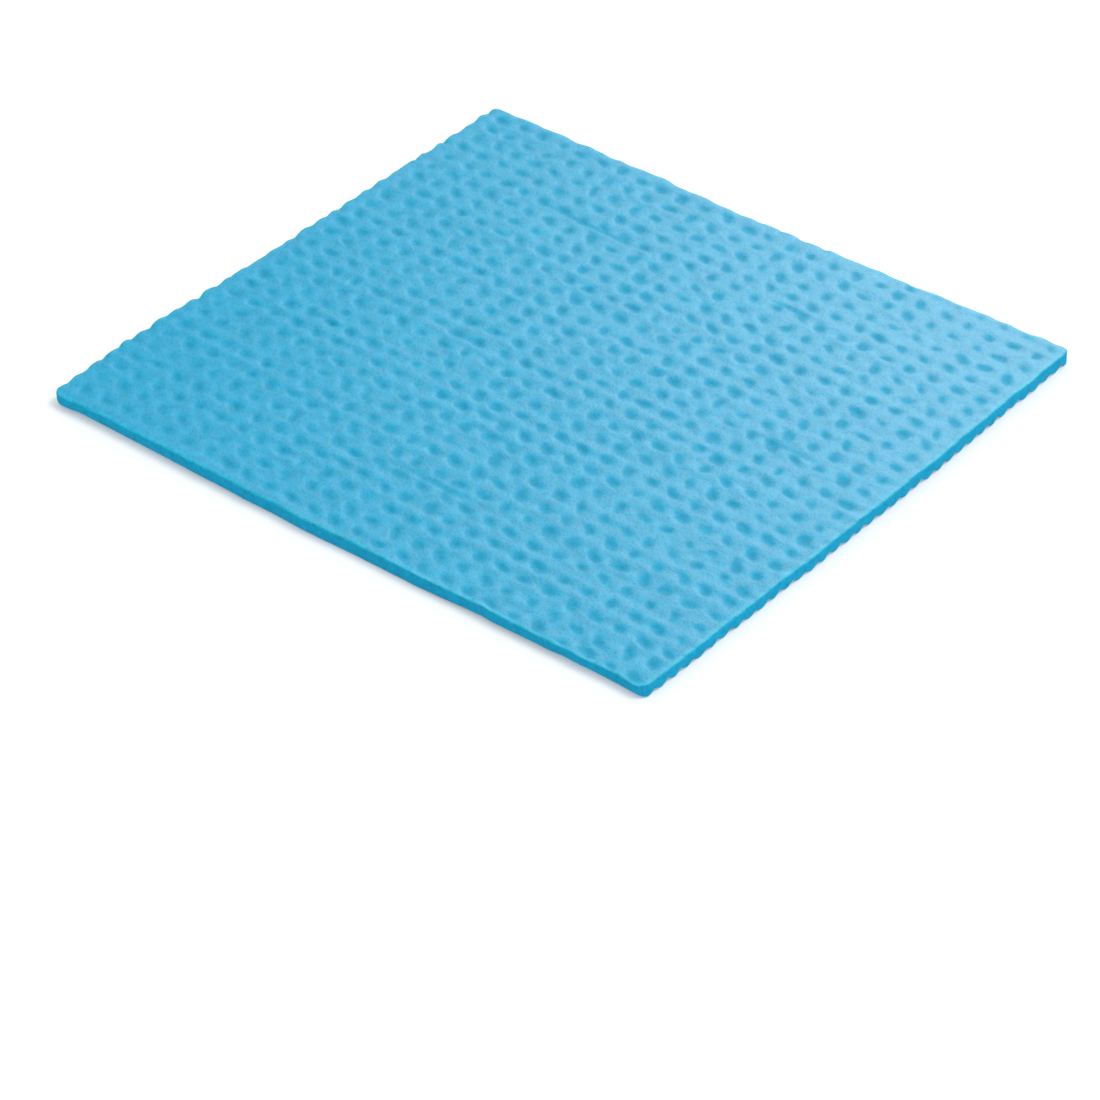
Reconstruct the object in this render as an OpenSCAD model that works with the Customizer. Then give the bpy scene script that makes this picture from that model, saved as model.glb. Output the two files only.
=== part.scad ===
// Cellulose sponge cloth: a flat sheet with a grid of pits pressed into its
// upper face and rounded ribs underneath. It lies on its ribs, pits up. The
// origin is under the middle of the cloth, on the surface that it lies on.
// X runs along the ribs, Y across them and Z up. All sizes are in millimetres.

/* [Cloth] */
// Length of the cut cloth, along the ribs
cloth_l = 200; // [150:1:260]
// Width of the cut cloth, across the ribs
cloth_w = 180; // [150:1:260]
// Thickness over everything, from the rib crests to the upper face
thickness = 4; // [3.2:0.1:6]
// Angle by which the ribs and the rows of pits run off square to the cut
skew = 1.3; // [0:0.1:4]

/* [Pits] */
// Spacing of the pits in a row
pit_pitch_l = 7.64; // [5.6:0.01:12]
// Spacing of the rows of pits
pit_pitch_w = 6.34; // [5.6:0.01:12]
// Width of a pit at the upper face
pit_w = 4; // [2:0.1:5]
// Depth of a pit
pit_depth = 1; // [0.3:0.05:1.2]
// Place of the middle pit of a row, from the centre of the cloth
pit_shift_l = -2.3; // [-3:0.1:3]
// Place of the middle row of pits, from the centre of the cloth
pit_shift_w = 2.2; // [-3:0.1:3]

/* [Ribs] */
// Spacing of the ribs across the underside
rib_pitch = 4.92; // [3.5:0.01:8]
// Height of a rib over the valleys beside it
rib_h = 0.9; // [0.3:0.05:1.3]
// Width of the flat on which a rib lies
rib_flat = 0.6; // [0.2:0.05:1.5]
// Place of the middle rib, from the centre of the cloth
rib_shift = 2.8; // [-3:0.1:3]

/* [Hidden] */

cloth_blue = [0.35, 0.72, 0.86];

// The sheet and its patterns run on past the cut, askew and shifted as they are
margin = 4 + max(cloth_l, cloth_w) / 2 * tan(skew);
sheet_l = cloth_l + 2 * margin;
sheet_w = cloth_w + 2 * margin;
// How far the cutting and pressing tools reach past the faces that they work
overcut = 1;

// Straight steps from the flat of a rib up to the valley beside it
rib_steps = 3;
rib_slope_w = (rib_pitch - rib_flat) / 2;
rib_step_w = rib_slope_w / rib_steps;

// A tooth's sides run on up past the face that its point is pressed into
tooth_rise = pit_depth / 10;
tooth_w = pit_w * (pit_depth + tooth_rise) / pit_depth;

// The steps from one side to the other that cover a span at a pitch
function steps_over(span, pitch) = let (reach = ceil(span / 2 / pitch)) [-reach : reach];

// Height of the underside at a distance t beside the flat of a rib
function rib_z(t) = rib_h * (1 - cos(180 * t / rib_slope_w)) / 2;

// One rib's outline from its left valley to its right one, upside up
rib_outline = concat(
    [for (i = [rib_steps : -1 : 0]) [-rib_flat / 2 - i * rib_step_w, rib_z(i * rib_step_w)]],
    [for (i = [0 : rib_steps - 1]) [rib_flat / 2 + i * rib_step_w, rib_z(i * rib_step_w)]]
);

// One tooth's outline, with its point pit_depth below the upper face
tooth_outline = [[-tooth_w / 2, tooth_rise], [0, -pit_depth], [tooth_w / 2, tooth_rise]];

// A flat bar's section, with an outline repeated along its lower side
module repeated_section(outline, span, pitch, top) {
    lower = [for (step = steps_over(span, pitch), point = outline) [step * pitch, 0] + point];
    left = lower[0].x;
    right = lower[len(lower) - 1].x;
    polygon(concat(lower, [[right, top], [left, top]]));
}

// Lays a section out across the sheet and draws it along the ribs, askew
module along_ribs(shift) {
    rotate([0, 0, -skew])
        translate([-sheet_l / 2, shift, 0])
            rotate([90, 0, 90])
                linear_extrude(sheet_l) children();
}

// The sheet as it comes off the roll: flat on top, scalloped underneath
module ribbed_sheet() {
    along_ribs(rib_shift) repeated_section(rib_outline, sheet_w, rib_pitch, thickness);
}

// The embossing plate: its points stand where two sets of teeth cross
module embossing_plate() {
    translate([0, 0, thickness])
        intersection() {
            translate([pit_shift_l, sheet_w / 2, 0])
                rotate([90, 0, 0])
                    linear_extrude(sheet_w)
                        repeated_section(tooth_outline, sheet_l, pit_pitch_l, overcut);
            along_ribs(pit_shift_w)
                repeated_section(tooth_outline, sheet_w, pit_pitch_w, overcut);
        }
}

// The blade's square cut, taller than the sheet
module cut() {
    translate([-cloth_l / 2, -cloth_w / 2, -overcut])
        cube([cloth_l, cloth_w, thickness + 2 * overcut]);
}

module sponge_cloth() {
    color(cloth_blue)
        difference() {
            intersection() {
                ribbed_sheet();
                cut();
            }
            embossing_plate();
        }
}

sponge_cloth();
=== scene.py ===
# %% [markdown]
# A cellulose sponge cloth. The real thing is one flat sheet, 4 mm thick: a web of open
# sponge with rows of soft pits pressed into its upper face and rounded ribs underneath,
# cut square with a blade. This script starts from the plain solid of the part and makes
# the sheet again as a fine mesh, with its finish, in the same place and at the same size.

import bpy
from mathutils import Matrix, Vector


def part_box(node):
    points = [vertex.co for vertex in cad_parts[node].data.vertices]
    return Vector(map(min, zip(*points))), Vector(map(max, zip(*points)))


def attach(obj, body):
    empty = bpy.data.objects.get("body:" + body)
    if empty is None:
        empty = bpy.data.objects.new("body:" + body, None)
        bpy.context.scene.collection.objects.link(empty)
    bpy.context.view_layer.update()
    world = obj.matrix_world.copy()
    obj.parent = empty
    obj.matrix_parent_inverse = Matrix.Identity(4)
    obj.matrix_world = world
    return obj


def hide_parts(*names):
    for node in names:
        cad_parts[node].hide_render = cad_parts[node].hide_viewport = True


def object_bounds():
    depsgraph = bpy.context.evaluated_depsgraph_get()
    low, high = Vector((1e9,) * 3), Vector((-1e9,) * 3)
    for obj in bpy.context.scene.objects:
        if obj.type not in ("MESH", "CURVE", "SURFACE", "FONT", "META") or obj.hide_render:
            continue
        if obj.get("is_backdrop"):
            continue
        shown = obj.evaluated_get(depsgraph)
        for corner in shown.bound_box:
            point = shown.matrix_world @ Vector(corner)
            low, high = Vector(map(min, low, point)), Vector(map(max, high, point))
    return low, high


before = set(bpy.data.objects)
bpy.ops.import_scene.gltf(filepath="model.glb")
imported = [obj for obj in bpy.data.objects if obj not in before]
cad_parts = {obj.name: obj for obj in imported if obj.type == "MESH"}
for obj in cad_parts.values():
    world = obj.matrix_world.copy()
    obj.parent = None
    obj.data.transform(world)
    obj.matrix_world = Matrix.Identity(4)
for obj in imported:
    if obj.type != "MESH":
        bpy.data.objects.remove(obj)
cad_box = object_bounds()
print("The part's box in metres:", [tuple(round(c, 4) for c in corner) for corner in cad_box])

# %% Tools of the trade
import math

import bpy
import numpy as np
from mathutils import Quaternion, Vector

MM = 0.001
SEED = 7
rng = np.random.default_rng(SEED)
print(f"Random numbers start from seed {SEED}, so each run makes the same cloth")

# %% [markdown]
# The camera comes first, because everything is seen through it. It could be placed by
# eye, but four corners of a flat sheet of known size fix a camera completely. The place,
# the angles and the focal length below follow from where the sheet's corners stand in a
# square picture that is 1100 pixels wide. A long lens far away keeps the far edge of the
# sheet almost as long as the near one.

# %% Camera
PICTURE_SIZE = 1100
FOCAL_LENGTH = 3991.3
SENSOR_WIDTH = 36.0
CAMERA_PLACE = Vector((0.56912, -0.66005, 0.61887))
CAMERA_AZIMUTH = math.radians(41.069)
CAMERA_ELEVATION = math.radians(37.781)
CAMERA_ROLL = math.radians(-1.742)
NEAREST_SEEN = 0.01
FURTHEST_SEEN = 20.0

camera_data = bpy.data.cameras.new("camera")
camera_data.sensor_width = SENSOR_WIDTH
camera_data.lens = FOCAL_LENGTH / PICTURE_SIZE * SENSOR_WIDTH
camera_data.clip_start = NEAREST_SEEN
camera_data.clip_end = FURTHEST_SEEN
camera = bpy.data.objects.new("camera", camera_data)
bpy.context.collection.objects.link(camera)

looking = Vector((
    -math.sin(CAMERA_AZIMUTH) * math.cos(CAMERA_ELEVATION),
    math.cos(CAMERA_AZIMUTH) * math.cos(CAMERA_ELEVATION),
    -math.sin(CAMERA_ELEVATION),
))
level = looking.to_track_quat("-Z", "Y")
camera.location = CAMERA_PLACE
camera.rotation_mode = "QUATERNION"
camera.rotation_quaternion = level @ Quaternion((0, 0, 1), CAMERA_ROLL)
bpy.context.scene.camera = camera
print(f"Lens of {camera_data.lens:.1f} mm, {CAMERA_PLACE.length:.2f} m from the sheet's middle")

# %% [markdown]
# The sheet's size comes from the part itself. The two patterns repeat at even steps, like
# anything that a roller leaves: pits every 7.64 mm along a row, rows every 6.34 mm, and
# ribs every 4.92 mm. The rows and the ribs run 1.3 degrees off the cut, because the blade
# wasn't quite square to the roll. From here on, lengths are in millimetres until the mesh
# is made.

# %% Sizes of the sheet
low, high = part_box("sponge_cloth")
HALF_L = (high.x - low.x) / 2 / MM
HALF_W = (high.y - low.y) / 2 / MM
THICKNESS = high.z / MM
SKEW = math.radians(1.3)

PIT_PITCH_L = 7.64
PIT_PITCH_W = 6.34
PIT_SHIFT_L = -2.3
PIT_SHIFT_W = 2.2
RIB_PITCH = 4.92
RIB_SHIFT = 2.8
print(f"Sheet of {2 * HALF_L:.0f} x {2 * HALF_W:.0f} x {THICKNESS:.1f} mm")


def across_rows(x, y):
    """How far a point lies across the rows and ribs, which run askew to the cut."""
    return x * math.sin(SKEW) + y * math.cos(SKEW)


# %% [markdown]
# A cast sponge is never even, so each height below gets a little soft noise. Noise can be
# drawn point by point, but then it is as harsh as sand. Here random values are blurred by
# a Gaussian, which is one multiplication once they are turned to waves by the Fourier
# transform. The blur is set in millimetres, so the lumps keep their size when the mesh
# gets finer or coarser.

# %% Drawing soft noise
NOISE_STEP = 0.5
NOISE_MARGIN = 10.0
noise_l = np.arange(-HALF_L - NOISE_MARGIN, HALF_L + NOISE_MARGIN, NOISE_STEP)
noise_w = np.arange(-HALF_W - NOISE_MARGIN, HALF_W + NOISE_MARGIN, NOISE_STEP)
print(f"A sheet of noise has {len(noise_l)} x {len(noise_w)} samples, {NOISE_STEP} mm apart")


def noise_sheet(along, across, amount):
    """Even noise of an amount, in lumps of a size along and across the sheet, all in mm."""
    turned = np.fft.fft2(rng.normal(size=(len(noise_l), len(noise_w))))
    freq_l = np.fft.fftfreq(len(noise_l), NOISE_STEP)[:, None]
    freq_w = np.fft.fftfreq(len(noise_w), NOISE_STEP)[None, :]
    blur = np.exp(-((freq_l * along) ** 2 + (freq_w * across) ** 2) * math.pi ** 2 / 2)
    sheet = np.real(np.fft.ifft2(turned * blur))
    return sheet / sheet.std() * amount


# %% Reading soft noise
# A little over one sample, so that a point never asks for samples past the last one
LAST_GAP = 1.001


def read_noise(sheet, x, y):
    """The noise at some points, blended from the four samples round each."""
    across = np.clip((x - noise_l[0]) / NOISE_STEP, 0, len(noise_l) - LAST_GAP)
    along = np.clip((y - noise_w[0]) / NOISE_STEP, 0, len(noise_w) - LAST_GAP)
    i, j = across.astype(int), along.astype(int)
    a, b = across - i, along - j
    near = sheet[i, j] * (1 - b) + sheet[i, j + 1] * b
    far = sheet[i + 1, j] * (1 - b) + sheet[i + 1, j + 1] * b
    return near * (1 - a) + far * a


# %% [markdown]
# The pits are what the eye reads first. They could be a texture, but then the edge of the
# sheet would stay straight where the blade cut through them, so they are real hollows in
# the mesh. Each one is a funnel: narrow and steep in the middle, where the pin went in, and
# wide and flat round it, where the wet sponge was drawn down with the pin. The pins dragged
# a little, so the funnels are long, stand aslant and are deepest off their middle.

# %% Shape of a pit
PIT_LONG = 4.4
PIT_SHORT = 2.6
PIT_SLANT = math.radians(-32)
PIT_DEPTH = 0.74
PIT_SHARPNESS = 2.7
PIN_ROUND = 0.15
PIN_DRAG = (-0.7, -0.2)
print(f"A pit is {2 * PIT_LONG:.1f} x {2 * PIT_SHORT:.1f} mm and {PIT_DEPTH} mm deep")

# %% [markdown]
# No two pits are alike, so each takes its own depth, place, size and slant from tables of
# random values, in which a depth or a size of 1 is the plain pit's. Two sheets of noise
# then let whole rows drift together, and two finer ones leave each mouth a little ragged.

# %% What sets the pits apart
PIT_TABLE = (36, 40)
DEPTH_SPREAD = 0.19
DEPTH_LIMITS = (0.5, 1.45)
PLACE_SPREAD = 0.28
SIZE_SPREAD = 0.12
SIZE_LIMITS = (0.75, 1.25)
SLANT_SPREAD = 0.25

pit_depths = np.clip(rng.normal(1.0, DEPTH_SPREAD, PIT_TABLE), *DEPTH_LIMITS)
pit_places = rng.normal(0.0, PLACE_SPREAD, (2, *PIT_TABLE))
pit_sizes = np.clip(rng.normal(1.0, SIZE_SPREAD, (2, *PIT_TABLE)), *SIZE_LIMITS)
pit_slants = PIT_SLANT + rng.normal(0.0, SLANT_SPREAD, PIT_TABLE)
drift = [noise_sheet(along=30, across=30, amount=0.25) for _ in range(2)]
ragged = [noise_sheet(along=2.2, across=2.2, amount=0.28) for _ in range(2)]
print(f"Pits of {pit_depths.min():.2f} to {pit_depths.max():.2f} times the plain depth")

# %% [markdown]
# The pins didn't go in equally deep everywhere. They were pressed less and less towards the
# far right corner. Along the right and the near side, and along the right half of the far
# one, the blade's pressure has closed the pits again, and the rim there runs smooth.

# %% Where the pits are shallow
LIGHT_PRESS = 0.42
CLOSED_SHARE = 0.8
CLOSED_WIDTH = 2.2
CLOSED_PAST_RIGHT = 1.0
CLOSED_PAST_NEAR_FAR = 0.5
FAR_CLOSED_FROM = 10
FAR_CLOSED_RUN = 30


def press_at(x, y):
    """How hard the pins were pressed in: less and less towards the far right corner."""
    return 1 - LIGHT_PRESS * np.clip((x + y) / (HALF_L + HALF_W), 0, 1)


def open_share(x, y):
    """The share of a pit's depth that the blade has left, from a little to all of it."""
    right_gap = HALF_L + CLOSED_PAST_RIGHT - x
    near_gap = HALF_W + CLOSED_PAST_NEAR_FAR + y
    far_gap = HALF_W + CLOSED_PAST_NEAR_FAR - y
    far_share = CLOSED_SHARE * np.clip((x - FAR_CLOSED_FROM) / FAR_CLOSED_RUN, 0, 1)
    sides = ((right_gap, CLOSED_SHARE), (near_gap, CLOSED_SHARE), (far_gap, far_share))
    share = np.ones_like(x)
    for gap, closed in sides:
        share *= 1 - closed * np.exp(-(gap / CLOSED_WIDTH) ** 2)
    return share


# %% Depth of the pits
def pit_depth_at(x, y):
    """Depth of the pits at some points of the upper face, in mm."""
    along = x + read_noise(drift[0], x, y) - PIT_SHIFT_L - PIN_DRAG[0]
    across = across_rows(x, y) + read_noise(drift[1], x, y) - PIT_SHIFT_W - PIN_DRAG[1]
    column = np.rint(along / PIT_PITCH_L).astype(int)
    row = np.rint(across / PIT_PITCH_W).astype(int)
    pit = (column + PIT_TABLE[0] // 2, row + PIT_TABLE[1] // 2)
    dx = along - column * PIT_PITCH_L - pit_places[0][pit] + read_noise(ragged[0], x, y)
    dy = across - row * PIT_PITCH_W - pit_places[1][pit] + read_noise(ragged[1], x, y)
    cos, sin = np.cos(pit_slants[pit]), np.sin(pit_slants[pit])
    u = (dx * cos + dy * sin) / (PIT_LONG * pit_sizes[0][pit])
    v = (dy * cos - dx * sin) / (PIT_SHORT * pit_sizes[1][pit])
    reach = np.sqrt(u ** 2 + v ** 2 + PIN_ROUND ** 2) - PIN_ROUND
    funnel = np.clip(1 - reach, 0, 1) ** PIT_SHARPNESS
    return PIT_DEPTH * pit_depths[pit] * funnel * open_share(x, y) * press_at(x, y)


# %% [markdown]
# Between the pits the upper face isn't flat either. Over each rib there is a faint ridge,
# the lands are a little lumpy, the whole sheet is a touch wavy from drying, and a few
# short creases run along the rows. The creases were few enough to list one by one, each
# by its middle, its length and its depth.

# %% Lumps, waves and creases
CREASE_WIDTH = 0.9
CREASE_WANDER = 1.5
CREASES = [
    ((-40, 59.6), 42, 0.4),
    ((31, 60.6), 16, 0.35),
    ((-29, -5.5), 14, 0.3),
    ((7, -58.8), 24, 0.3),
    ((6, -34), 18, 0.25),
    ((68, 8.6), 26, 0.22),
]
lumps = noise_sheet(along=2.4, across=1.9, amount=0.045)
rows_of_lumps = noise_sheet(along=9, across=1.6, amount=0.03)
waves = noise_sheet(along=45, across=45, amount=0.12)
print(f"{len(CREASES)} creases, and waves from {waves.min():.2f} to {waves.max():.2f} mm")


def crease_depth_at(x, y):
    """Depth of the creases at some points of the upper face, in mm."""
    depth = np.zeros_like(x)
    for (middle_x, middle_y), length, deep in CREASES:
        along = (x - middle_x) / (length / 2)
        across = y - middle_y + (x - middle_x) * math.tan(SKEW)
        across = across + read_noise(drift[0], x, y) * CREASE_WANDER
        depth += deep * np.clip(1 - along ** 2, 0, 1) * np.exp(-((across / CREASE_WIDTH) ** 2))
    return depth


# %% Upper face
RIDGE_HEIGHT = 0.05


def sag_at(x, y):
    """The sheet's own slight waves, which the upper face and the underside share."""
    return read_noise(waves, x, y)


def upper_at(x, y):
    """Height of the upper face at some points, in mm."""
    ridge = RIDGE_HEIGHT * np.cos((across_rows(x, y) - RIB_SHIFT) * 2 * math.pi / RIB_PITCH)
    land = ridge + read_noise(lumps, x, y) + read_noise(rows_of_lumps, x, y)
    return THICKNESS + sag_at(x, y) + land - pit_depth_at(x, y) - crease_depth_at(x, y)


# %% [markdown]
# The ribs underneath show only as a row of scallops along the left and the right cut edge,
# and from below. Their crests are broad and round, and the valleys between them narrow, as
# on a sheet that was cast on a grooved roller. The formula 1 - |cos| gives that shape: it
# rises slowly from the crest and meets its neighbour in a sharp valley, which the power
# softens. Underneath, the sheet lies on the floor, so only a share of its waves is left.

# %% Underside
RIB_HEIGHT = 1.1
RIB_SPREAD = 0.13
RIB_TABLE = 60
RIB_WANDER = 0.4
VALLEY_SOFTNESS = 1.25
SAG_UNDERNEATH = 0.3
rib_table = rng.normal(1.0, RIB_SPREAD, RIB_TABLE)
underside_lumps = noise_sheet(along=12, across=1.4, amount=0.03)
print(f"Ribs of {rib_table.min():.2f} to {rib_table.max():.2f} times {RIB_HEIGHT} mm")


def under_at(x, y):
    """Height of the underside at some points, in mm."""
    across = across_rows(x, y) + read_noise(drift[1], x, y) * RIB_WANDER - RIB_SHIFT
    rib = np.rint(across / RIB_PITCH).astype(int)
    turn = (across / RIB_PITCH - rib) * math.pi
    valley = 1 - np.abs(np.cos(turn)) ** VALLEY_SOFTNESS
    lift = RIB_HEIGHT * rib_table[rib + RIB_TABLE // 2] * valley
    return lift + sag_at(x, y) * SAG_UNDERNEATH + read_noise(underside_lumps, x, y)


# %% [markdown]
# A blade never cuts sponge dead straight. Each side of this sheet is out of true by an even
# amount, by a lean along it and by one broad bulge. Together they put it anywhere from
# 0.4 mm inside the true rectangle to 2.5 mm outside, and it wobbles softly besides. The
# left and the far side are torn more than the other two, and the left one has a small nick
# at every row of pits that the blade cut open.

# %% Line of each side
SIDES = {
    "left": {"even": 1.12, "lean": 0.0, "bulge": 1.4, "middle": -52, "spread": 24},
    "right": {"even": 0.35, "lean": 0.0, "bulge": 1.75, "middle": 18, "spread": 85},
    "near": {"even": 0.5, "lean": -0.0075, "bulge": 0.75, "middle": -18, "spread": 42},
    "far": {"even": 0.9, "lean": 0.0, "bulge": -1.25, "middle": -10, "spread": 60},
}
TORN = {"left": 0.18, "far": 0.18, "right": 0.05, "near": 0.05}
NICK_DEPTH = 0.28
wobble = [noise_sheet(along=7, across=7, amount=0.1) for _ in range(2)]
torn = noise_sheet(along=3, across=3, amount=1.0)


def out_of_true(side, t):
    """How far a side stands out from the true rectangle, at a distance t along it."""
    facts = SIDES[side]
    bulge = facts["bulge"] * np.exp(-(((t - facts["middle"]) / facts["spread"]) ** 2))
    return facts["even"] + facts["lean"] * t + bulge


def nick_at(x, y):
    """How far the left side is torn back where the blade has cut a row of pits open."""
    turn = (across_rows(x, y) - PIT_SHIFT_W - PIN_DRAG[1]) / PIT_PITCH_W * 2 * math.pi
    return NICK_DEPTH * (1 + np.cos(turn)) / 2


print("At their middles the sides stand out by",
      {side: round(float(out_of_true(side, 0)), 2) for side in SIDES}, "mm")

# %% [markdown]
# The corners are worn round, and the near left one is pulled askew as well. So the mesh is
# laid out as a perfect rectangle first and then eased into its outline. The wobble fades
# slowly from a side inwards and the tears at once, because the higher the power of a place
# between -1 and 1, the closer to the side it drops to nothing. One function does all this,
# and the rim below uses it again with an inset, so that every ring follows the same line.

# %% Outline of the cut
CORNER_ROUND = 2.4
WORN_CORNER_ROUND = 3.0
CORNER_PULL = (1.0, -0.4)
CORNER_REACH = 13.0
WOBBLE_POWER = 8
TEAR_POWER = 60
NEXT_TO_NOTHING = 1e-9


def round_corners(x, y, u, v):
    """Draw the points of the four corners in to arcs."""
    radius = np.where((u < 0) & (v < 0), WORN_CORNER_ROUND, CORNER_ROUND)
    over_x = np.clip(np.abs(x) - (HALF_L - radius), 0, None)
    over_y = np.clip(np.abs(y) - (HALF_W - radius), 0, None)
    reach = np.hypot(over_x, over_y)
    share = np.maximum(over_x, over_y) / np.maximum(reach, NEXT_TO_NOTHING)
    pull = np.where(reach > 0, share, 1.0)
    return x - np.sign(x) * over_x * (1 - pull), y - np.sign(y) * over_y * (1 - pull)


def tears_at(x, y, u, v):
    """How far points at the sides are torn out of line, along X and along Y."""
    tear_x = np.where(u > 0, TORN["right"], TORN["left"]) * read_noise(torn, x, y)
    tear_x = tear_x + np.where(u > 0, 0.0, nick_at(x, y))
    tear_y = np.where(v > 0, TORN["far"], TORN["near"]) * read_noise(torn, x, y)
    return np.abs(u) ** TEAR_POWER * tear_x, np.abs(v) ** TEAR_POWER * tear_y


def place(u, v, inset=0.0):
    """Where a point of the unit square lies on the sheet, in mm."""
    x, y = round_corners(u * (HALF_L - inset), v * (HALF_W - inset), u, v)
    right, left = out_of_true("right", v * HALF_W), out_of_true("left", v * HALF_W)
    far, near = out_of_true("far", u * HALF_L), out_of_true("near", u * HALF_L)
    x_out = x + (1 + u) / 2 * right - (1 - u) / 2 * left
    y_out = y + (1 + v) / 2 * far - (1 - v) / 2 * near
    tear_x, tear_y = tears_at(x, y, u, v)
    x_out = x_out + np.abs(u) ** WOBBLE_POWER * read_noise(wobble[0], x, y) + tear_x
    y_out = y_out + np.abs(v) ** WOBBLE_POWER * read_noise(wobble[1], x, y) + tear_y
    corner = np.exp(-(((x + HALF_L) ** 2 + (y + HALF_W) ** 2) / CORNER_REACH ** 2))
    return x_out + CORNER_PULL[0] * corner, y_out + CORNER_PULL[1] * corner


# %% [markdown]
# The upper face is a grid of squares, about 0.7 mm each, so that a pit has eight to ten of
# them across and its steep middle has three or four. Each point also carries two marks for
# the materials: how deep it lies in a pit or a crease, which sets a deeper blue there that is
# partly the pressed sponge and partly painted shade, and how near it is to the rim, which
# sets a painted highlight along it.

# %% Grid
STEP_L = 0.765
STEP_W = 0.635
COLUMNS_KEPT = 6
RIM_ROUND = 0.45

count_l = int(round(2 * HALF_L / STEP_L / COLUMNS_KEPT)) * COLUMNS_KEPT
count_w = int(round(2 * HALF_W / STEP_W))
grid_u, grid_v = np.meshgrid(
    np.linspace(-1, 1, count_l + 1), np.linspace(-1, 1, count_w + 1), indexing="ij"
)
face_x, face_y = place(grid_u, grid_v, RIM_ROUND)
print(f"Grid of {count_l} x {count_w} squares")

# %% Collecting points
points = []
faces = []
pit_marks = []
rim_marks = []


def add_points(x, y, z, pit, rim):
    """Add points to the mesh and give back their numbers in the same layout."""
    first = len(points)
    points.extend(zip((x * MM).ravel(), (y * MM).ravel(), (z * MM).ravel()))
    pit_marks.extend(np.broadcast_to(pit, x.shape).ravel())
    rim_marks.extend(np.broadcast_to(rim, x.shape).ravel())
    return np.arange(first, len(points)).reshape(x.shape)


# %% Upper grid
# Width of the band of painted highlight along the rim, in mm
RIM_HIGHLIGHT_BAND = 1.3

pit_mark = (pit_depth_at(face_x, face_y) + crease_depth_at(face_x, face_y)) / PIT_DEPTH
edge_gap = np.minimum(HALF_L * (1 - np.abs(grid_u)), HALF_W * (1 - np.abs(grid_v)))
rim_highlight_mark = np.exp(-((edge_gap / RIM_HIGHLIGHT_BAND) ** 2))
top = add_points(face_x, face_y, upper_at(face_x, face_y), pit_mark, rim_highlight_mark)
quads = np.stack([top[:-1, :-1], top[1:, :-1], top[1:, 1:], top[:-1, 1:]], -1)
faces.extend(quads.reshape(-1, 4).tolist())
print(f"Upper face: {len(faces)} squares of {STEP_L} x {STEP_W} mm")

# %% [markdown]
# The underside is the same grid, but its ribs are straight, so only every sixth of its
# columns is kept. Its first and last rows keep every point of the edge, or there would be
# slits where it meets the rim.

# %% Under grid
UNDERSIDE_MARK = -1.0

under_z = under_at(face_x, face_y)
kept = np.arange(0, count_l + 1, COLUMNS_KEPT)
spare = np.setdiff1d(np.arange(count_l + 1), kept)
under = np.full(grid_u.shape, -1)
under[kept] = add_points(face_x[kept], face_y[kept], under_z[kept], 0.0, UNDERSIDE_MARK)
for row in (0, count_w):
    under[spare, row] = add_points(
        face_x[spare, row], face_y[spare, row], under_z[spare, row], 0.0, UNDERSIDE_MARK
    )
print(f"Underside: {len(kept)} of {count_l + 1} columns kept")

# %% Faces of the underside
columns = under[kept]
quads = np.stack(
    [columns[:-1, 1:-2], columns[:-1, 2:-1], columns[1:, 2:-1], columns[1:, 1:-2]], -1
)
faces.extend(quads.reshape(-1, 4).tolist())
for left, right in zip(kept[:-1], kept[1:]):
    near_edge = under[left:right + 1, 0]
    faces.append([under[left, 1], under[right, 1], *near_edge[::-1]])
    far_edge = under[left:right + 1, count_w]
    faces.append([under[right, count_w - 1], under[left, count_w - 1], *far_edge])
print(f"Upper face and underside together: {len(faces)} faces")

# %% [markdown]
# The cut edge joins the two faces. Rings of points go round the sheet, each a little
# further out and down: a tight round at the top where the skin folds over, the wall, and
# a round turn underneath. The wall isn't a true plane, because open sponge tears as
# well as cuts, so its rings wander inwards by a few hundredths of a millimetre.

# %% Rings of the rim
# The rounded top of the rim gets the full painted highlight
SKIN_HIGHLIGHT_MARK = 1.0
CUT_MARK = -0.5
TURN_ANGLES = [30, 60, 90]
TURN_MARKS = [SKIN_HIGHLIGHT_MARK, SKIN_HIGHLIGHT_MARK, CUT_MARK]
WALL_RINGS = 2
WALL_TEAR = 0.04


def around(numbers):
    """The outer ring of a grid, anticlockwise from its first corner."""
    return np.concatenate([
        numbers[:-1, 0], numbers[-1, :-1], numbers[:0:-1, -1], numbers[0, :0:-1],
    ])


ring_u, ring_v = around(grid_u), around(grid_v)
outer_x, outer_y = place(ring_u, ring_v)
edge_top = upper_at(outer_x, outer_y)
edge_under = under_at(outer_x, outer_y)
leans = [math.radians(angle) for angle in TURN_ANGLES]
turns = [(RIM_ROUND * (1 - math.sin(a)), RIM_ROUND * (1 - math.cos(a))) for a in leans]
rings = [around(top)]


def add_ring(inset, z, mark):
    """Add a ring of points at an inset from the outline and at a height, in mm."""
    x, y = place(ring_u, ring_v, inset)
    rings.append(add_points(x, y, z, 0.0, mark))


for (inset, drop), mark in zip(turns, TURN_MARKS):
    add_ring(inset, edge_top - drop, mark)
for step in range(1, WALL_RINGS + 1):
    share = step / (WALL_RINGS + 1)
    wall_z = (edge_top - RIM_ROUND) * (1 - share) + (edge_under + RIM_ROUND) * share
    add_ring(np.abs(rng.normal(0, WALL_TEAR, ring_u.shape)), wall_z, CUT_MARK)
for inset, rise in turns[::-1]:
    add_ring(inset, edge_under + rise, CUT_MARK)
rings.append(around(under))
print(f"Rim: {len(rings) - 2} rings of {len(ring_u)} points")

# %% Faces of the rim
skin_bands = TURN_MARKS.count(SKIN_HIGHLIGHT_MARK)
first_cut_face = len(faces) + skin_bands * len(ring_u)
for upper, lower in zip(rings[:-1], rings[1:]):
    band = np.stack([upper, lower, np.roll(lower, -1), np.roll(upper, -1)], -1)
    faces.extend(band.tolist())
cut_faces = range(first_cut_face, len(faces))
print(f"{len(cut_faces)} of the {len(faces)} faces are on the cut")

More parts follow.
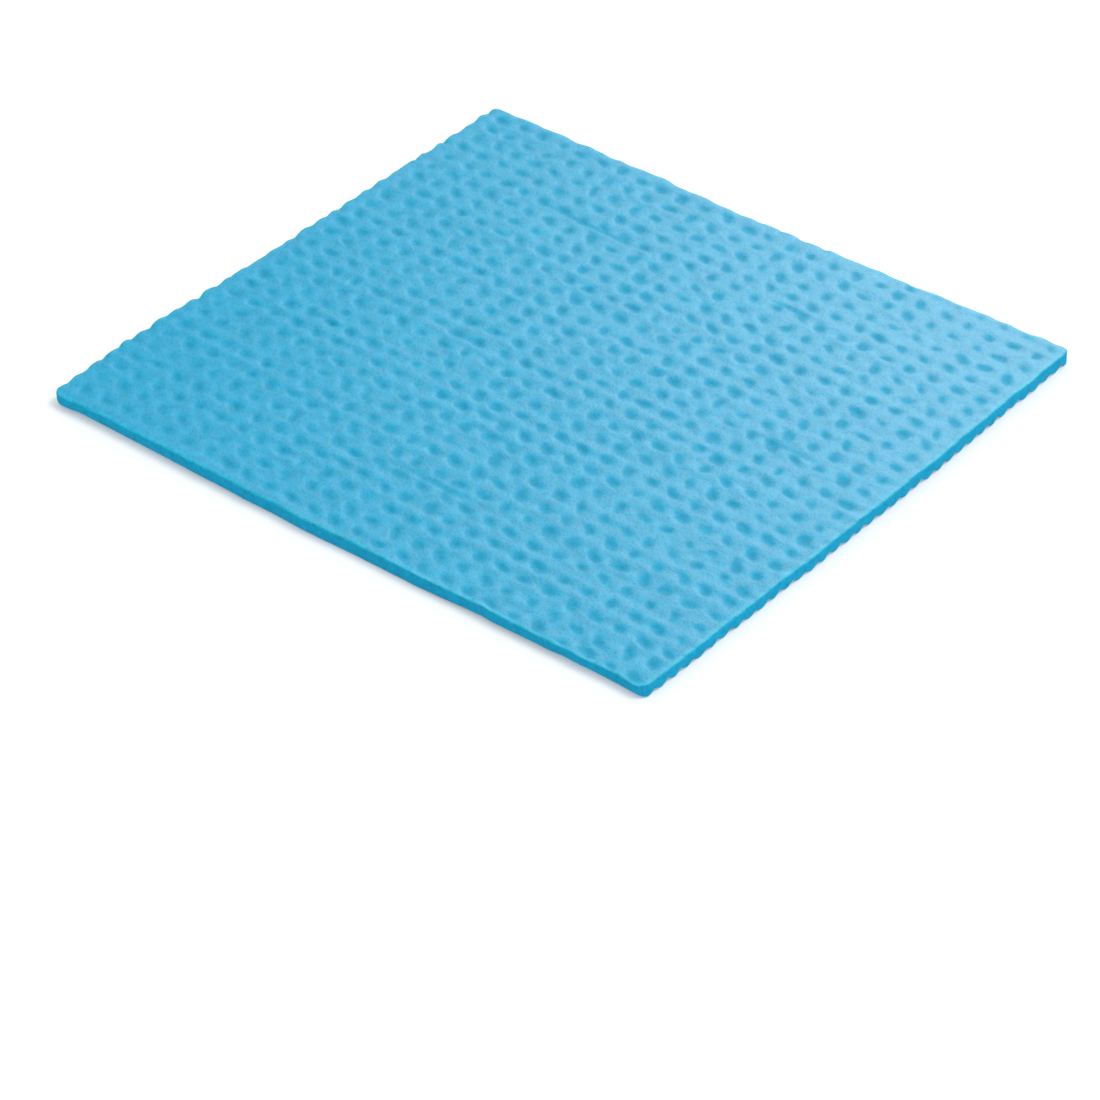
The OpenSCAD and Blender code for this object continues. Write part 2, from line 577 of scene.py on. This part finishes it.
# %% Mesh of the cloth
heights = np.array(points)[:, 2]
points = [(x, y, z - heights.min()) for x, y, z in points]
mesh = bpy.data.meshes.new("cloth")
mesh.from_pydata(points, [], faces)
for name, marks in (("pit", pit_marks), ("rim", rim_marks)):
    layer = mesh.attributes.new(name, "FLOAT", "POINT")
    layer.data.foreach_set("value", np.array(marks, dtype=np.float32))
mesh.polygons.foreach_set("use_smooth", [True] * len(mesh.polygons))
mesh.polygons.foreach_set("material_index", [int(i in cut_faces) for i in range(len(faces))])
mesh.update()
mesh.validate()
cloth = bpy.data.objects.new("cloth", mesh)
bpy.context.collection.objects.link(cloth)
triangles = sum(len(face) - 2 for face in faces)
print(f"Cloth: {len(points)} points, {triangles} triangles")

# %% [markdown]
# Colours are picked as hex values, the way a paint chart gives them, but a shader counts
# light. One function turns the one into the other. Another adds a node with its settings
# and links, so that a material reads as a list of what it is made of. It takes an input by
# its name, or by i and its number.

# %% Colour and node helpers
def colour(hex_value):
    """An sRGB hex value as linear red, green, blue and alpha."""
    channels = [int(hex_value[i:i + 2], 16) / 255 for i in (1, 3, 5)]
    linear = [c / 12.92 if c <= 0.04045 else ((c + 0.055) / 1.055) ** 2.4 for c in channels]
    return (*linear, 1.0)


def add_node(tree, kind, settings=None, **inputs):
    """Add a node. Inputs are values, or outputs of other nodes to link from."""
    node = tree.nodes.new(kind)
    for name, value in (settings or {}).items():
        setattr(node, name, value)
    for name, value in inputs.items():
        key = int(name[1:]) if name[0] == "i" and name[1:].isdigit() else name.replace("_", " ")
        if isinstance(value, bpy.types.NodeSocket):
            tree.links.new(value, node.inputs[key])
        else:
            node.inputs[key].default_value = value
    return node


def new_material(name):
    """A material with an empty node tree, and its output node."""
    material = bpy.data.materials.new(name)
    material.use_nodes = True
    tree = material.node_tree
    tree.nodes.clear()
    return material, tree, tree.nodes.new("ShaderNodeOutputMaterial")


print("The grey #808080 is", round(colour("#808080")[0], 3), "in linear light")

# %% [markdown]
# Three steps come up again and again. A pattern is given the size of its cells, two colours
# are mixed, and a value is stretched over a new span. Several inputs of a Mix node share a
# name, so they go by number: 0 is the factor, 6 and 7 are the two colours.

# %% Shorthands for materials
def per_metre(millimetres):
    """Scale of a pattern whose cells are this many millimetres."""
    return 1.0 / (millimetres * MM)


def mix(tree, kind, factor, first, second):
    """A colour mixed from two, by one of the blend kinds."""
    settings = {"data_type": "RGBA", "blend_type": kind}
    node = add_node(tree, "ShaderNodeMix", settings, i0=factor, i6=first, i7=second)
    return node.outputs[2]


def ramp(tree, value, low, high, low_out=0.0, high_out=1.0):
    """A value stretched from one span to another and held at its ends."""
    node = add_node(
        tree, "ShaderNodeMapRange", {"interpolation_type": "SMOOTHSTEP"},
        i0=value, i1=low, i2=high, i3=low_out, i4=high_out,
    )
    return node.outputs[0]


# %% [markdown]
# The material is dry cellulose sponge: regenerated wood pulp with a little cotton, dyed
# through and cast full of air. The eye gets a chalky blue that hardly shines, pinholes
# where bubbles broke the skin, painted darker as the shade inside them, and a deeper blue
# wherever the skin is pressed in. That deeper blue is partly the denser pressed sponge and
# partly painted shade, standing in for the light that goes round between the walls there
# and comes out more coloured. Solid cellulose bends light by about 1.47, but this skin is
# half air, so its IOR is about 1.25. Where the blade has cut, there is no skin at all, only
# open cells that swallow the gloss. IOR can't vary over one material, so the cut faces get
# a second one from the same function.

# %% Finish of the sponge
SKIN = colour("#19B2DE")
# Deeper blue of pits and creases: partly the denser pressed sponge, partly painted shade
PRESSED_BLUE_AND_SHADE = colour("#16AAD3")
CUT = colour("#1FB3E1")
# Painted highlight along the rim
RIM_HIGHLIGHT = colour("#1FBDE4")
# Painted shade inside the pinholes
PINHOLE_SHADE = colour("#0F93C0")
PRESSED_AND_SHADE_SPAN = (0.05, 1.0)
RIM_HIGHLIGHT_SPAN = (0.35, 0.9)
CUT_SPAN = (-0.1, -0.4)
SKIN_ROUGHNESS = 0.68
PRESSED_ROUGHNESS = 0.9
ROUGHNESS_SPAN = (0.0, 0.5)
SKIN_IOR = 1.25
CUT_IOR = 1.15
print(f"Roughness of {SKIN_ROUGHNESS} on the skin and {PRESSED_ROUGHNESS} in the pits")

# %% [markdown]
# The pinholes are 0.3 to 1 mm across. They are drawn as cells of a Voronoi texture, whose
# scale is 1000 mm divided by the cell's size: a hole has its floor round the middle of a
# cell and its lip further out, both in shares of the cell. Each hole is painted a darker
# blue as the shade inside it. A fine mottle makes the blue a few hundredths darker or
# lighter, as where dye took unevenly. Pinholes and mottle also give the skin a relief that
# is too fine for the mesh.

# %% Grain of the sponge
PINHOLES = [
    {"cell": 1.7, "floor": 0.18, "lip": 0.42},
    {"cell": 0.8, "floor": 0.2, "lip": 0.45},
]
PINHOLE_SHADE_STRENGTH = 0.35
MOTTLE_CELL = 2.6
MOTTLE_DETAIL = 3.0
MOTTLE_SPAN = (0.3, 0.7)
MOTTLE_SHADES = (0.93, 1.06)
PINHOLE_RELIEF = -0.6
RELIEF_STRENGTH = 0.3
RELIEF_DEPTH = 0.2


def pinholes(tree, where):
    """How much of a pinhole every point is, from two sizes of cell."""
    holes = []
    for facts in PINHOLES:
        scale = per_metre(facts["cell"])
        cells = add_node(tree, "ShaderNodeTexVoronoi", Vector=where, Scale=scale)
        holes.append(ramp(tree, cells.outputs["Distance"], facts["floor"], facts["lip"], 1.0, 0.0))
    both = add_node(tree, "ShaderNodeMath", {"operation": "MAXIMUM"}, i0=holes[0], i1=holes[1])
    return both.outputs[0]


print("Pinholes in cells of", [facts["cell"] for facts in PINHOLES], "mm")

# %% Blue of the sponge
def sponge_blue(tree, pit, rim, holes, mottle):
    """The skin's blue, changed in turn by pits (partly painted shade), rim (painted highlight),
    cut, pinholes (painted shade) and mottle.
    """
    # Partly painted shade: pits and creases get a deeper blue, for the pressed sponge and for the
    # shade in the hollows
    face = mix(tree, "MIX", ramp(tree, pit, *PRESSED_AND_SHADE_SPAN), SKIN, PRESSED_BLUE_AND_SHADE)
    # Painted highlight: a lighter blue along the rim, where its rounded top catches the light
    face = mix(tree, "MIX", ramp(tree, rim, *RIM_HIGHLIGHT_SPAN), face, RIM_HIGHLIGHT)
    face = mix(tree, "MIX", ramp(tree, rim, *CUT_SPAN), face, CUT)
    # Painted shade: pinholes get a darker blue for the shade inside them
    hole_shade_share = ramp(tree, holes, 0.0, 1.0, 0.0, PINHOLE_SHADE_STRENGTH)
    face = mix(tree, "MIX", hole_shade_share, face, PINHOLE_SHADE)
    shade = ramp(tree, mottle, *MOTTLE_SPAN, *MOTTLE_SHADES)
    tint = add_node(tree, "ShaderNodeCombineColor", Red=shade, Green=shade, Blue=shade)
    return mix(tree, "MULTIPLY", 1.0, face, tint.outputs[0])


# %% Dry cellulose sponge
def dry_cellulose_sponge(name, ior):
    """The sponge, with a gloss for its cast skin or for a cut face."""
    material, tree, output = new_material(name)
    where = add_node(tree, "ShaderNodeTexCoord").outputs["Object"]
    pit = add_node(tree, "ShaderNodeAttribute", {"attribute_name": "pit"}).outputs["Fac"]
    rim = add_node(tree, "ShaderNodeAttribute", {"attribute_name": "rim"}).outputs["Fac"]
    holes = pinholes(tree, where)
    mottle = add_node(
        tree, "ShaderNodeTexNoise",
        Vector=where, Scale=per_metre(MOTTLE_CELL), Detail=MOTTLE_DETAIL,
    ).outputs["Fac"]
    relief = add_node(
        tree, "ShaderNodeMath", {"operation": "MULTIPLY_ADD"},
        i0=holes, i1=PINHOLE_RELIEF, i2=mottle,
    )
    bump = add_node(
        tree, "ShaderNodeBump", Height=relief.outputs[0],
        Strength=RELIEF_STRENGTH, Distance=RELIEF_DEPTH * MM,
    )
    roughness = ramp(tree, pit, *ROUGHNESS_SPAN, SKIN_ROUGHNESS, PRESSED_ROUGHNESS)
    shader = add_node(
        tree, "ShaderNodeBsdfPrincipled", Normal=bump.outputs[0],
        Base_Color=sponge_blue(tree, pit, rim, holes, mottle), Roughness=roughness, IOR=ior,
    )
    tree.links.new(shader.outputs[0], output.inputs["Surface"])
    return material


cloth.data.materials.append(dry_cellulose_sponge("dry cellulose sponge", SKIN_IOR))
cloth.data.materials.append(dry_cellulose_sponge("cut cellulose sponge", CUT_IOR))
print("Materials:", [material.name for material in cloth.data.materials])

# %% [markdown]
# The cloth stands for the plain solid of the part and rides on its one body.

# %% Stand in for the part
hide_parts("sponge_cloth")
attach(cloth, "root")

# %% [markdown]
# The floor is plain and white. A white surface can be had by pouring light on it, but
# that would wash out the cloth as well. Instead the floor is a pale matt paint, and for
# the camera alone a little glow is added, which brings it to white and still leaves the
# shadow.

# %% Floor
FLOOR_SIZE = 12.0
FLOOR_WHITE = colour("#F2F2F2")
FLOOR_GLOW = 0.26


def matt_white_floor():
    """A matt white paint that glows a little, for the camera alone."""
    material, tree, output = new_material("matt white paint")
    paint = add_node(tree, "ShaderNodeBsdfDiffuse", Color=FLOOR_WHITE)
    path = add_node(tree, "ShaderNodeLightPath")
    seen = add_node(
        tree, "ShaderNodeMath", {"operation": "MULTIPLY"},
        i0=path.outputs["Is Camera Ray"], i1=FLOOR_GLOW,
    )
    glow = add_node(tree, "ShaderNodeEmission", Strength=seen.outputs[0])
    both = add_node(tree, "ShaderNodeAddShader", i0=paint.outputs[0], i1=glow.outputs[0])
    tree.links.new(both.outputs[0], output.inputs["Surface"])
    return material


half = FLOOR_SIZE / 2
floor_mesh = bpy.data.meshes.new("floor")
floor_mesh.from_pydata(
    [(-half, -half, 0), (half, -half, 0), (half, half, 0), (-half, half, 0)],
    [], [(0, 1, 2, 3)],
)
floor = bpy.data.objects.new("floor", floor_mesh)
bpy.context.collection.objects.link(floor)
floor.data.materials.append(matt_white_floor())
floor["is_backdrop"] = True

# %% [markdown]
# The light is a plain studio. A large soft lamp high behind the right of the cloth and an
# even white surround do the lighting. That lamp is far off, because a near one would make
# one corner brighter than the others. A second lamp stands half a metre behind the cloth,
# about where a mirror would show it to the camera, and lights nothing but gloss. The skin
# picks it up as a thin white veil. Because the lamp is near, the veil is strongest at the
# far side and fades towards the camera, and the pits break it, which makes them show.

# %% Lamps
LAMPS = {
    "high soft lamp": {
        "azimuth": 55, "elevation": 60, "far": 8.0, "size": 4.0, "watts": 228.0,
    },
    "low back lamp": {
        "azimuth": -12, "elevation": 38.5, "far": 0.55, "size": 0.25, "watts": 15.0,
    },
}


def soft_lamp(name, azimuth, elevation, far, size, watts):
    """A round soft lamp aimed at the middle of the cloth."""
    data = bpy.data.lights.new(name, "AREA")
    data.shape = "DISK"
    data.size = size
    data.energy = watts
    lamp = bpy.data.objects.new(name, data)
    bpy.context.collection.objects.link(lamp)
    turn, rise = math.radians(azimuth), math.radians(elevation)
    lamp.location = far * Vector((
        math.sin(turn) * math.cos(rise), math.cos(turn) * math.cos(rise), math.sin(rise)
    ))
    lamp.rotation_mode = "QUATERNION"
    lamp.rotation_quaternion = (-lamp.location).to_track_quat("-Z", "Y")
    return lamp


lamps = {name: soft_lamp(name, **facts) for name, facts in LAMPS.items()}
lamps["low back lamp"].visible_diffuse = False
lamps["low back lamp"].visible_camera = False
print("Lamps:", {name: f"{facts['watts']:.0f} W" for name, facts in LAMPS.items()})

# %% [markdown]
# The surround lights the cloth a little less than a white room does, but to the camera it
# is pure white.

# %% Surround
SURROUND = 0.75
SEEN_WHITE = 1.0

world = bpy.data.worlds.new("white surround")
bpy.context.scene.world = world
world.use_nodes = True
world.node_tree.nodes.clear()
seen = add_node(world.node_tree, "ShaderNodeLightPath").outputs["Is Camera Ray"]
sky_strength = ramp(world.node_tree, seen, 0.0, 1.0, SURROUND, SEEN_WHITE)
sky = add_node(world.node_tree, "ShaderNodeBackground", Strength=sky_strength)
add_node(world.node_tree, "ShaderNodeOutputWorld", Surface=sky.outputs[0])

# %% Colour management
bpy.context.scene.view_settings.view_transform = "Standard"

# %% Sizes, for comparing with the part, and the end
seen_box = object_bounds()
sizes = {
    "cad": [list(corner) for corner in cad_box],
    "visual": [list(corner) for corner in seen_box],
}
for name, box in sizes.items():
    print(name, [[round(c / MM, 2) for c in corner] for corner in box], "mm")
